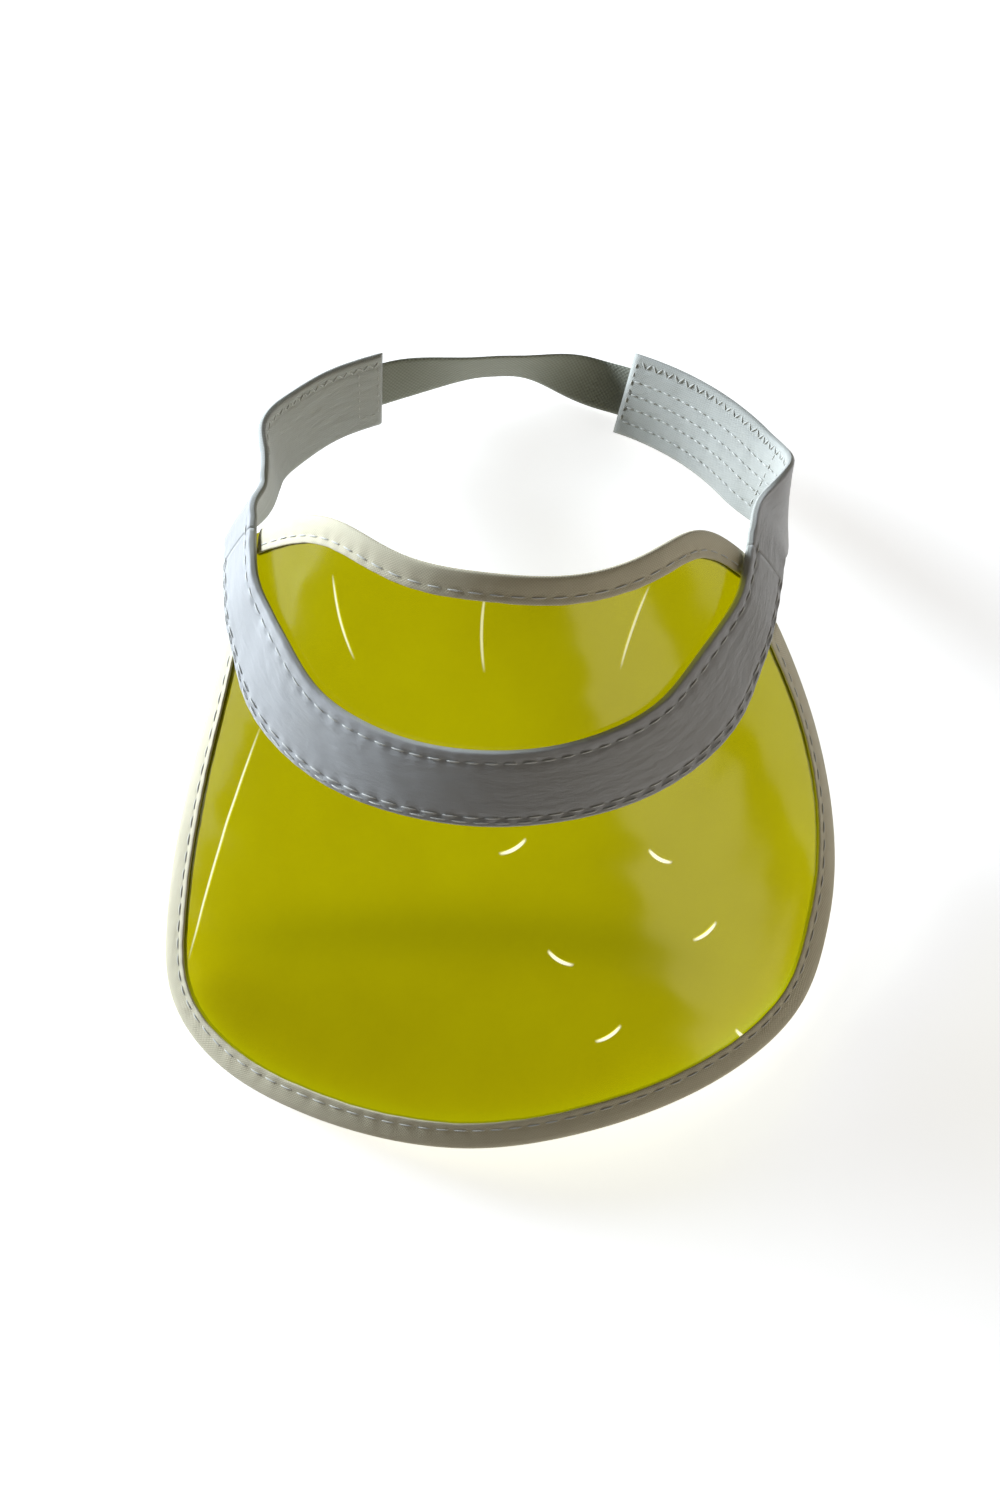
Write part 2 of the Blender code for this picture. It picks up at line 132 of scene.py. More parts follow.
ARM_BEND_STATIONS = 18
STRAP_STATIONS = 24
FRONT_STATIONS = 120
HALF = BAND_WIDTH / 2


# ---------------------------------------------------------------- curves and surfaces of the visor
def natural_spline(x, y, at):
    """Natural cubic spline through the rows of y at x, taken at the places in at."""
    step = np.diff(x)
    matrix = np.eye(len(x))
    right = np.zeros_like(y)
    for i in range(1, len(x) - 1):
        matrix[i, i - 1:i + 2] = [step[i - 1], 2 * (step[i - 1] + step[i]), step[i]]
        right[i] = 6 * ((y[i + 1] - y[i]) / step[i] - (y[i] - y[i - 1]) / step[i - 1])
    bend = np.linalg.solve(matrix, right)
    k = np.clip(np.searchsorted(x, at, side="right") - 1, 0, len(x) - 2)
    h = step[k][..., None]
    a = (x[k + 1] - at)[..., None]
    b = (at - x[k])[..., None]
    curve = bend[k] * a ** 3 / (6 * h) + bend[k + 1] * b ** 3 / (6 * h)
    return curve + (y[k] / h - bend[k] * h / 6) * a + (y[k + 1] / h - bend[k + 1] * h / 6) * b


def lengths_along(points):
    return np.concatenate([[0.0], np.cumsum(np.linalg.norm(np.diff(points, axis=0), axis=1))])


def smooth_curve(points, t):
    """Smooth curve through points, at fractions t of its chord length."""
    pts = np.array(points, float)
    chord = lengths_along(pts)
    return natural_spline(chord, pts, np.clip(np.asarray(t, float), 0, 1) * chord[-1])


def mirrored(points):
    return [(-x, y) for x, y in reversed(points[1:])] + list(points)


def smooth_step(x, low, high):
    t = np.clip((np.asarray(x, float) - low) / (high - low), 0, 1)
    return t * t * (3 - 2 * t)


def unit(v):
    return v / np.linalg.norm(v, axis=-1, keepdims=True)


def film_frame(flat):
    """Points of the flat pattern on the bent film, and the film's outward normals there."""
    flat = np.asarray(flat, float)
    x = flat[..., 0]
    y = flat[..., 1] + CONE_SLANT
    slant = np.hypot(x, y)
    turn = np.arctan2(x, y) / math.sin(CONE_HALF_ANGLE)
    up = np.array([0.0, math.sin(CONE_LEAN), math.cos(CONE_LEAN)])
    ahead = np.array([0.0, -math.cos(CONE_LEAN), math.sin(CONE_LEAN)])
    outward = np.cos(turn)[..., None] * ahead + np.sin(turn)[..., None] * np.array([1.0, 0.0, 0.0])
    fixed = math.sin(CONE_HALF_ANGLE) * outward - math.cos(CONE_HALF_ANGLE) * up
    tuck = TUCK * smooth_step(np.abs(turn), TUCK_FROM, TUCK_TO)
    facing = CONE_HALF_ANGLE - tuck
    leaning = np.sin(facing)[..., None] * outward - np.cos(facing)[..., None] * up
    past = slant - TUCK_SLANT
    soft = (past + TUCK_SOFT) ** 2 / (4 * TUCK_SOFT)
    turned = np.where(np.abs(past) < TUCK_SOFT, soft, np.maximum(past, 0.0))
    share = np.clip((past + TUCK_SOFT) / (2 * TUCK_SOFT), 0, 1)
    facing = CONE_HALF_ANGLE - tuck * share
    normal = np.cos(facing)[..., None] * outward + np.sin(facing)[..., None] * up
    return CONE_APEX + (slant - turned)[..., None] * fixed + turned[..., None] * leaning, normal


def on_film(flat, lift):
    point, normal = film_frame(flat)
    return point + np.asarray(lift, float)[..., None] * normal


def front_base(u, across):
    """Inner face and normals of the front band: u from -1 (left) to 1, across in mm from its middle."""
    t = (np.asarray(u, float) + 1) / 2
    top = smooth_curve(mirrored(BAND_TOP), t)
    low = smooth_curve(mirrored(BAND_LOW), t)
    share = 0.5 - np.asarray(across, float) / BAND_WIDTH
    point, normal = film_frame(top + (low - top) * share[..., None])
    rise = BAND_LIFT + TIP_RISE * smooth_step(np.abs(u), TIP_START, TIP_END)
    return point + rise[..., None] * normal, normal


def front_point(u, across, lift):
    point, normal = front_base(np.array([u], float), np.array([across], float))
    return (point + lift * normal)[0]


def temple(side):
    mid = front_point(side, 0, BAND_THICK / 2)
    cross = unit(front_point(side, HALF, BAND_THICK / 2) - front_point(side, -HALF, BAND_THICK / 2))
    ahead = unit(mid - front_point(side * TEMPLE_LOOK_BACK, 0, BAND_THICK / 2))
    ahead = unit(ahead - cross * (ahead @ cross))
    return mid, cross, ahead


HINGE_RIGHT = temple(1)[0] + temple(1)[2] * HINGE_GAP / 2
REAR_CENTRE_Y = HINGE_RIGHT[1]


def rear_frame(angle, extra):
    up = np.array([0.0, 0.0, 1.0])
    outward = np.array([math.sin(angle), math.cos(angle), 0.0])
    cross = math.cos(RIGHT_FLARE) * up + math.sin(RIGHT_FLARE) * outward
    normal = math.cos(RIGHT_FLARE) * outward - math.sin(RIGHT_FLARE) * up
    mid = np.array([0.0, REAR_CENTRE_Y, RIGHT_HEIGHT]) + outward * REAR_RADIUS + normal * extra
    return mid, cross, normal


def widened(frames):
    sewn = np.linalg.norm(front_point(1, HALF, BAND_THICK / 2) - front_point(1, -HALF, BAND_THICK / 2))
    first = sewn / BAND_WIDTH
    return [(m, c * (first + (1 - first) * smooth_step(i / ARM_STATIONS, 0.0, 0.3)), n)
            for i, (m, c, n) in enumerate(frames)]


def framed(path, crosses, side):
    frames = []
    for i, point in enumerate(path):
        tangent = unit(path[min(i + 1, len(path) - 1)] - path[max(i - 1, 0)])
        cross = unit(crosses[i] - tangent * (crosses[i] @ tangent))
        frames.append((point, cross, unit(np.cross(tangent, cross)) * side))
    return frames


def right_arm_frames():
    """Stations of the right arm: a bend out of the temple, then the rear circle."""
    mid, cross, ahead = temple(1)
    start = mid + ahead * HINGE_GAP
    join, join_cross, _ = rear_frame(REAR_START, 0)
    along = np.array([-math.cos(REAR_START), math.sin(REAR_START), 0.0])
    points = [start, start + ahead * BEND_LEAD] + RIGHT_BEND + [join - along * BEND_LEAD, join]
    share = np.linspace(0, 1, ARM_BEND_STATIONS + 1)
    path = list(smooth_curve(points, share))
    crosses = [cross + (join_cross - cross) * smooth_step(s, 0, 1) for s in share]
    frames = framed(path, crosses, 1)[:-1]
    for angle in np.linspace(REAR_START, RIGHT_END, ARM_STATIONS - ARM_BEND_STATIONS + 1):
        frames.append(rear_frame(angle, 0))
    return widened(frames)


def left_arm_frames():
    """Stations of the left arm along its own softer path."""
    mid, cross, ahead = temple(-1)
    start = mid + ahead * HINGE_GAP
    points = [start, start + ahead * BEND_LEAD] + LEFT_PATH
    path = smooth_curve(points, np.linspace(0, 1, ARM_STATIONS + 1))
    crosses = []
    for i, point in enumerate(path):
        outward = unit(np.array([point[0], point[1], 0.0]))
        flared = math.cos(LEFT_FLARE) * np.array([0.0, 0.0, 1.0]) + math.sin(LEFT_FLARE) * outward
        crosses.append(cross + (flared - cross) * smooth_step(i / ARM_STATIONS, 0.0, 0.4))
    return widened(framed(list(path), crosses, -1))


def strap_frames():
    """Stations of the strap from the left arm's end, over the gap, to its free end on the pile."""
    near = BAND_THICK / 2 + FABRIC_GAP + STRAP_THICK / 2
    far = BAND_THICK / 2 + 2 * FABRIC_GAP + 2 * PILE_THICK + PILE_CLEARANCE + STRAP_THICK / 2
    tail = [(m + n * near, c, n) for m, c, n in left_arm_frames()]
    leave = unit(tail[-1][0] - tail[-2][0])
    start = tail[-1][0] + leave * STRAP_SPLIT
    join, join_cross, _ = rear_frame(STRAP_JOIN, far)
    along = np.array([math.cos(STRAP_JOIN), -math.sin(STRAP_JOIN), 0.0])
    points = [start, start + leave * BEND_LEAD] + STRAP_BOW + [join - along * BEND_LEAD, join]
    share = np.linspace(0, 1, STRAP_STATIONS // 2 + 1)
    path = list(smooth_curve(points, share))
    crosses = []
    for s, point in zip(share, path):
        outward = unit(np.array([point[0], point[1] - REAR_CENTRE_Y, 0.0]))
        middle = math.cos(STRAP_LEAN) * np.array([0.0, 0.0, 1.0]) + math.sin(STRAP_LEAN) * outward
        cross = tail[-1][1] + (middle - tail[-1][1]) * smooth_step(s, *LEAN_FROM_ARM)
        crosses.append(cross + (join_cross - cross) * smooth_step(s, *LEAN_TO_PILE))
    frames = framed(path, crosses, -1)[:-1]
    for angle in np.linspace(STRAP_JOIN, STRAP_FREE_END, STRAP_STATIONS // 2 + 1):
        frames.append(rear_frame(angle, far))
    return tail[-STRAP_ROOT_STATIONS:], frames


def to_world(points):
    """Ring frame in mm to the row frame in metres."""
    c = math.cos(REST_TILT)
    s = math.sin(REST_TILT)
    turn = np.array([[1, 0, 0], [0, c, s], [0, -s, c]])
    return np.asarray(points, float) @ turn.T * MM


class Strip:
    """A long flat piece as a dense table of its base face: at(s, across, lift) gives points along it."""

    def __init__(self, base, normal, across):
        mids = base[:, base.shape[1] // 2]
        chord = lengths_along(mids)
        count = int(chord[-1] * 2) + 1
        t = np.linspace(0, 1, count)
        flat = np.concatenate([mids, base.reshape(len(base), -1), normal.reshape(len(base), -1)], 1)
        dense = natural_spline(chord, flat, t * chord[-1])
        self.length = chord[-1]
        self.knots = chord
        self.across = across
        size = base[0].size
        self.base = dense[:, 3:3 + size].reshape(count, -1, 3)
        self.normal = unit(dense[:, 3 + size:].reshape(count, -1, 3))

    def frame(self, s, across):
        s, across = np.broadcast_arrays(np.asarray(s, float), np.asarray(across, float))
        i = np.clip(s / self.length, 0, 1) * (len(self.base) - 1)
        step = self.across[1] - self.across[0]
        j = (across - self.across[0]) / step
        i0 = np.clip(np.floor(i).astype(int), 0, len(self.base) - 2)
        j0 = np.clip(np.floor(j).astype(int), 0, len(self.across) - 2)
        p = (i - i0)[..., None]
        q = (j - j0)[..., None]
        result = []
        for table in (self.base, self.normal):
            low = table[i0, j0] * (1 - q) + table[i0, j0 + 1] * q
            high = table[i0 + 1, j0] * (1 - q) + table[i0 + 1, j0 + 1] * q
            result.append(low * (1 - p) + high * p)
        return result[0], unit(result[1])

    def at(self, s, across, lift):
        base, normal = self.frame(s, across)
        return base + np.asarray(lift, float)[..., None] * normal


def strip_of_frames(frames, across, drop):
    base = np.array([[m + c * a - n * drop for a in across] for m, c, n in frames])
    normal = np.array([[n for a in across] for m, c, n in frames])
    return base, normal


def band_strip():
    """The whole head band, from the left arm's end round the front to the right arm's end."""
    across = np.linspace(-HALF, HALF, 19)
    us = np.linspace(-1, 1, FRONT_STATIONS + 1)
    grid_u, grid_a = np.meshgrid(us, across, indexing="ij")
    base, normal = front_base(grid_u, grid_a)
    lb, ln = strip_of_frames(left_arm_frames()[::-1], across, BAND_THICK / 2)
    rb, rn = strip_of_frames(right_arm_frames(), across, BAND_THICK / 2)
    strip = Strip(np.concatenate([lb, base, rb]), np.concatenate([ln, normal, rn]), across)
    strip.front_from = strip.knots[len(lb)]
    strip.front_to = strip.knots[len(lb) + FRONT_STATIONS]
    return strip


def pile_strip():
    across = np.linspace(-HALF, HALF, 19)
    frames = [rear_frame(a, 0) for a in np.linspace(LOOP_FROM, LOOP_TO, 41)]
    return Strip(*strip_of_frames(frames, across, -BAND_THICK / 2), across)


def strap_strip():
    across = np.linspace(-STRAP_WIDTH / 2, STRAP_WIDTH / 2, 9)
    root, free = strap_frames()
    strip = Strip(*strip_of_frames(root + free[1:], across, STRAP_THICK / 2), across)
    strip.cut = strip.knots[len(root) - 1] + STRAP_SPLIT / 2
    return strip


class Edge:
    """One bound edge of the film: at(s, inset, lift) is measured inward from the edge."""

    def __init__(self, points, inward):
        t = np.linspace(0.5 - BIND_END / 2, 0.5 + BIND_END / 2, 900)
        edge = smooth_curve(points, t)
        step = smooth_curve(points, t + 0.001) - smooth_curve(points, t - 0.001)
        self.s = lengths_along(edge)
        self.length = self.s[-1]
        self.edge = edge
        self.side = unit(np.stack([-step[:, 1], step[:, 0]], 1)) * inward

    def flat(self, s, inset):
        s, inset = np.broadcast_arrays(np.asarray(s, float), np.asarray(inset, float))
        e = np.stack([np.interp(s, self.s, self.edge[:, k]) for k in (0, 1)], -1)
        d = unit(np.stack([np.interp(s, self.s, self.side[:, k]) for k in (0, 1)], -1))
        return e + d * inset[..., None]

    def at(self, s, inset, lift):
        return on_film(self.flat(s, inset), lift)

    def frame(self, s, inset):
        return film_frame(self.flat(s, inset))


# ---------------------------------------------------------------- mesh helpers
def new_object(name, verts, faces, materials, uv=None, slots=None):
    mesh = bpy.data.meshes.new(name)
    mesh.from_pydata(to_world(verts).tolist(), [], faces)
    for material in materials:
        mesh.materials.append(material)
    if slots is not None:
        mesh.polygons.foreach_set("material_index", np.asarray(slots, np.int32))
    mesh.polygons.foreach_set("use_smooth", np.ones(len(faces), bool))
    if uv is not None:
        layer = mesh.uv_layers.new(name="UVMap")
        layer.uv.foreach_set("vector", np.asarray(uv, np.float32).ravel())
    mesh.update()
    obj = bpy.data.objects.new(name, mesh)
    bpy.context.scene.collection.objects.link(obj)
    return obj


def loft(name, rings, uv, materials, pick=None):
    """Closed body through rings (n, m, 3), half of each facing the other half; uv is (n, m + 1, 2)."""
    n, m = rings.shape[:2]
    half = m // 2
    i, j = np.meshgrid(np.arange(n - 1), np.arange(m), indexing="ij")
    i = i.ravel()
    j = j.ravel()
    k = (j + 1) % m
    quads = np.stack([i * m + j, i * m + k, (i + 1) * m + k, (i + 1) * m + j], 1)
    maps = np.stack([uv[i, j], uv[i, j + 1], uv[i + 1, j + 1], uv[i + 1, j]], 1)
    picked = np.zeros(len(i), int) if pick is None else np.asarray([pick[v] for v in j])
    caps = []
    cap_uv = []
    for row, flip in ((0, True), (n - 1, False)):
        for q in range(half - 1):
            ids = [q, q + 1, m - 2 - q, m - 1 - q]
            ids = ids[::-1] if flip else ids
            caps.append([row * m + v for v in ids])
            cap_uv.append([uv[row, v] for v in ids])
    quads = np.concatenate([quads, np.array(caps)])
    maps = np.concatenate([maps, np.array(cap_uv)])
    slots = np.concatenate([picked, np.zeros(len(caps), int)])
    verts = rings.reshape(-1, 3)
    a, b, c, d = (verts[quads[:, q]] for q in range(4))
    volume = (a * np.cross(b, c)).sum() + (a * np.cross(c, d)).sum()
    if volume < 0:
        quads = quads[:, ::-1]
        maps = maps[:, ::-1]
    return new_object(name, verts, quads.tolist(), materials, maps, slots)


def dashes(name, strips, radius, material, sides=6):
    """Sewing stitches: each strip is (points, normals) of one stitch lying on the cloth."""
    verts = []
    faces = []
    turn = np.linspace(0, 2 * math.pi, sides, endpoint=False)
    for points, normals in strips:
        n = len(points)
        tangent = unit(np.gradient(points, axis=0))
        side = unit(np.cross(normals, tangent))
        fade = np.sqrt(np.clip(1 - (2 * np.linspace(0, 1, n) - 1) ** 4, 0.08, 1))
        wide = np.cos(turn)[None, :, None] * side[:, None]
        high = 0.8 * np.sin(turn)[None, :, None] * normals[:, None]
        ring = points[:, None] + radius * fade[:, None, None] * (wide + high)
        start = len(verts)
        verts += ring.reshape(-1, 3).tolist()
        for i in range(n - 1):
            for j in range(sides):
                k = (j + 1) % sides
                faces.append((start + i * sides + j, start + (i + 1) * sides + j,
                              start + (i + 1) * sides + k, start + i * sides + k))
        faces.append(tuple(start + j for j in range(sides)))
        faces.append(tuple(start + (n - 1) * sides + j for j in reversed(range(sides))))
    return new_object(name, np.array(verts), faces, [material])


def straight_row(surface, s0, s1, across, lift, length, gap, sink=0.35):
    """Stitches of one straight row on a surface; they dip into the cloth at both ends."""
    count = max(1, int(round((s1 - s0) / (length + gap))))
    pitch = (s1 - s0) / count
    made = []
    for i in range(count):
        s = s0 + i * pitch + np.linspace(gap / 2, pitch - gap / 2, 6)
        base, normal = surface.frame(s, across)
        dip = sink * np.array([1.0, 0.25, 0.0, 0.0, 0.25, 1.0])
        made.append((base + normal * (lift - dip)[:, None], normal))
    return made


def zigzag_row(surface, s0, s1, across, lift, pitch, width, sink=0.3):
    count = int((s1 - s0) / pitch)
    made = []
    for i in range(count):
        s = s0 + (i + np.linspace(0.06, 0.94, 5)) * pitch
        swing = (np.linspace(-0.5, 0.5, 5) if i % 2 else np.linspace(0.5, -0.5, 5)) * width
        base, normal = surface.frame(s, across + swing)
        dip = sink * np.array([1.0, 0.1, 0.0, 0.1, 1.0])
        made.append((base + normal * (lift - dip)[:, None], normal))
    return made


def cross_row(surface, s, a0, a1, lift, length, gap, sink=0.3):
    count = max(1, int(round((a1 - a0) / (length + gap))))
    pitch = (a1 - a0) / count
    made = []
    for i in range(count):
        a = a0 + i * pitch + np.linspace(gap / 2, pitch - gap / 2, 5)
        base, normal = surface.frame(np.full(5, s), a)
        dip = sink * np.array([1.0, 0.1, 0.0, 0.1, 1.0])
        made.append((base + normal * (lift - dip)[:, None], normal))
    return made


def ripple(x, seed, scale):
    """Smooth repeatable wandering between -1 and 1."""
    total = np.zeros_like(np.asarray(x, float))
    for k, weight in enumerate((0.5, 0.3, 0.2)):
        phase = np.asarray(x) / scale * (1 + 1.7 * k) * 2 * math.pi + seed * (k + 1.3)
        total = total + weight * np.sin(phase)
    return total


# ---------------------------------------------------------------- materials
FILM_TINT = (0.605, 0.575, 0.0)
FILM_TINT_WARM = (0.585, 0.55, 0.0)
# The film's tint inside the painted shadow band, darker than its own tint.
FILM_TINT_SHADOWED = (0.52, 0.495, 0.0)
FILM_MIRROR = 0.03
FLOOR_GLOW = 0.72
# Painted glints on the film, standing in for lamp reflections: white marks with a little light of their own.
# A mark is its start, end, bow, half width (mm of the flat pattern) and strength.
SIDE_GLINT = (-75, -75, -100, 5, 1.5, 0.5, 0.4)
BRIM_GLINTS = 6
BRIM_GLINT_STEP = 15
BRIM_GLINT_ROW = 30
CROWN_GLINTS = 3
CROWN_GLINT_STEP = 50


def painted_glint_marks():
    """Evenly spaced painted glints: short ones on the brim, leaning ones on the crown and one at the left
    side.
    """
    marks = [SIDE_GLINT]
    for k in range(BRIM_GLINTS):
        x = 5 + BRIM_GLINT_STEP * k
        y = -45 + BRIM_GLINT_ROW * (k % 3)
        marks.append((x, y, x + 8, y + (5 if k % 2 else -5), 1.0, 0.7, 0.9))
    for k in range(CROWN_GLINTS):
        x = CROWN_GLINT_STEP * (k - 1)
        marks.append((x, -124, 0.8 * x, -100, 1.0, 0.5, 0.4))
    return marks


class Nodes:
    """Short way to write a node tree."""

    def __init__(self, name):
        self.material = bpy.data.materials.new(name)
        self.material.use_nodes = True
        self.tree = self.material.node_tree
        self.tree.nodes.clear()
        self.out = self.tree.nodes.new("ShaderNodeOutputMaterial")

    def add(self, kind, inputs=None, **settings):
        node = self.tree.nodes.new("ShaderNode" + kind)
        for key, value in settings.items():
            setattr(node, key, value)
        for key, value in (inputs or {}).items():
            self.put(node, key, value)
        return node

    def put(self, node, key, value):
        socket = node.inputs[key]
        if isinstance(value, bpy.types.NodeSocket):
            self.tree.links.new(value, socket)
        elif isinstance(value, bpy.types.Node):
            self.tree.links.new(value.outputs[0], socket)
        else:
            socket.default_value = value

    def math(self, operation, a, b=0.0, c=None):
        inputs = {0: a, 1: b}
        if c is not None:
            inputs[2] = c
        return self.add("Math", inputs, operation=operation).outputs[0]

    def ramp(self, value, low, high, to_low=0.0, to_high=1.0):
        node = self.add("MapRange", {"Value": value, "From Min": low, "From Max": high,
                                     "To Min": to_low, "To Max": to_high})
        return node.outputs[0]

    def mix(self, factor, a, b):
        node = self.add("Mix", data_type="RGBA")
        for socket, value in ((node.inputs[0], factor), (node.inputs[6], a), (node.inputs[7], b)):
            if isinstance(value, bpy.types.NodeSocket):
                self.tree.links.new(value, socket)
            else:
                socket.default_value = value
        return node.outputs[2]

    def noise(self, vector, scale, detail=3.0, roughness=0.5):
        node = self.add("TexNoise", {"Scale": scale, "Detail": detail, "Roughness": roughness})
        self.put(node, "Vector", vector)
        return node.outputs["Fac"]

    def mix_shaders(self, factor, first, second):
        node = self.add("MixShader", {0: factor})
        self.tree.links.new(first.outputs[0], node.inputs[1])
        self.tree.links.new(second.outputs[0], node.inputs[2])
        return node

    def finish(self, shader):
        self.tree.links.new(shader.outputs[0], self.out.inputs[0])
        return self.material


def rgb(r, g, b):
    return (r, g, b, 1.0)


def scaled(n, vector, sx, sy, sz=1.0, angle=0.0):
    node = n.add("Mapping", {"Scale": (sx, sy, sz), "Rotation": (0, 0, angle)})
    n.put(node, "Vector", vector)
    return node.outputs[0]


def weave_height(n, uv, pitch, satin):
    """Height of a woven face: a plain over-and-under weave, or a satin's long floats."""
    if satin:
        brick = n.add("TexBrick", {"Scale": 1.0 / pitch, "Mortar Size": 0.12, "Mortar Smooth": 1.0,
                                   "Brick Width": 5.0, "Row Height": 1.0}, offset=0.4, offset_frequency=2)
        n.put(brick, "Vector", uv)
        return n.math("SUBTRACT", 1.0, brick.outputs["Fac"])
    split = n.add("SeparateXYZ", {"Vector": uv})
    x = n.math("SINE", n.math("MULTIPLY", split.outputs[0], math.pi / pitch))
    y = n.math("SINE", n.math("MULTIPLY", split.outputs[1], math.pi / pitch))
    return n.math("MULTIPLY_ADD", n.math("MULTIPLY", x, y), 0.5, 0.5)


def cloth_material(name, colour, shade, pitch, satin, relief, rough, sheen, wrinkle, soil):
    """Cloth with UVs in mm: weave relief with painted shade where the weave lies low, soft wrinkles, colour
    change between threads, faint soiling.
    """
    n = Nodes(name)
    uv = n.add("UVMap").outputs[0]
    height = weave_height(n, uv, pitch, satin)
    yarn = n.noise(scaled(n, uv, 0.25 / pitch, 2.0 / pitch), 1.0, 2.0)
    cloud = n.noise(scaled(n, uv, 0.035, 0.05), 1.0, 4.0, 0.6)
    crease = n.noise(scaled(n, uv, 0.10, 0.32, angle=0.35), 1.0, 3.0, 0.55)
    # Painted shade: the colour turns to its darker copy, shade, where the weave lies low.
    base = n.mix(n.ramp(height, 0.1, 0.9), rgb(*shade), rgb(*colour))
    base = n.mix(n.ramp(yarn, 0.35, 0.75, 0.0, 0.22), base, rgb(*shade))
    base = n.mix(n.ramp(cloud, 0.5, 0.8, 0.0, 0.35), base, rgb(*soil))
    fine = n.add("Bump", {"Strength": 0.55, "Distance": relief * MM, "Height": height})
    wide = n.add("Bump", {"Strength": 0.5, "Distance": wrinkle * MM, "Height": crease, "Normal": fine})
    worn = n.ramp(yarn, 0.2, 0.8, rough - 0.07, rough + 0.07)
    face = n.add("BsdfPrincipled", {"Base Color": base, "Roughness": worn, "Sheen Weight": sheen,
                                    "Sheen Roughness": 0.45, "Normal": wide, "Specular IOR Level": 0.4})
    if satin:
        face.inputs["Anisotropic"].default_value = 0.45
    return n.finish(face)


def pile_material(name, colour, shade, scale):
    """Hook or loop face: crowded tiny tufts, with painted shade where they lie low."""
    n = Nodes(name)
    uv = n.add("UVMap").outputs[0]
    tufts = n.add("TexVoronoi", {"Scale": scale, "Randomness": 0.9})
    n.put(tufts, "Vector", uv)
    fuzz = n.noise(uv, scale * 3, 4.0, 0.7)
    height = n.math("ADD", n.math("SUBTRACT", 1.0, tufts.outputs["Distance"]), n.math("MULTIPLY", fuzz, 0.6))
    # Painted shade: the darker copy, shade, where the tufts lie low.
    base = n.mix(n.ramp(height, 0.5, 1.3), rgb(*shade), rgb(*colour))
    bump = n.add("Bump", {"Strength": 0.8, "Distance": 0.4 * MM, "Height": height})
    return n.finish(n.add("BsdfPrincipled", {"Base Color": base, "Roughness": 0.95, "Sheen Weight": 0.35,
                                             "Normal": bump}))


def thread_material(name, colour):
    """Twisted sewing thread, with its twist as fine slanted ribs and painted shade in the grooves between
    them.
    """
    n = Nodes(name)
    place = n.add("NewGeometry").outputs["Position"]
    twist = n.add("TexWave", {"Scale": 900.0, "Distortion": 1.2, "Detail": 1.0}, bands_direction="DIAGONAL")
    n.put(twist, "Vector", place)
    # Painted shade: darker where the twist lies low.
    base = n.mix(n.ramp(twist.outputs["Fac"], 0.0, 1.0), rgb(*[v * 0.82 for v in colour]), rgb(*colour))
    bump = n.add("Bump", {"Strength": 0.4, "Distance": 0.1 * MM, "Height": twist.outputs["Fac"]})
    return n.finish(n.add("BsdfPrincipled", {"Base Color": base, "Roughness": 0.55, "Sheen Weight": 0.2,
                                             "Normal": bump}))


def painted_glint_share(n, uv):
    """Share of the film covered by painted glints, which stand in for lamp reflections."""
    total = None
    for x0, y0, x1, y1, bow, width, strength in painted_glint_marks():
        length = math.hypot(x1 - x0, y1 - y0)
        heading = math.atan2(y1 - y0, x1 - x0)
        centred = n.add("Mapping", {"Location": ((x0 + x1) / 2, (y0 + y1) / 2, 0.0),
                                    "Rotation": (0.0, 0.0, heading)}, vector_type="TEXTURE")
        n.put(centred, "Vector", uv)
        split = n.add("SeparateXYZ", {"Vector": centred.outputs[0]})
        along = n.math("DIVIDE", split.outputs[0], length / 2)
        squared = n.math("MULTIPLY", along, along)
        off = n.math("SUBTRACT", split.outputs[1], n.math("MULTIPLY_ADD", squared, -bow, bow))
        taper = n.math("SUBTRACT", 1.0, squared)
        near = n.math("SUBTRACT", 1.0, n.math("DIVIDE", n.math("ABSOLUTE", off), width))
        spot = n.math("MULTIPLY", n.math("MAXIMUM", near, 0.0), n.math("MAXIMUM", taper, 0.0))
        spot = n.ramp(spot, 0.0, 0.45, 0.0, strength)
        total = spot if total is None else n.math("MAXIMUM", total, spot)
    return total


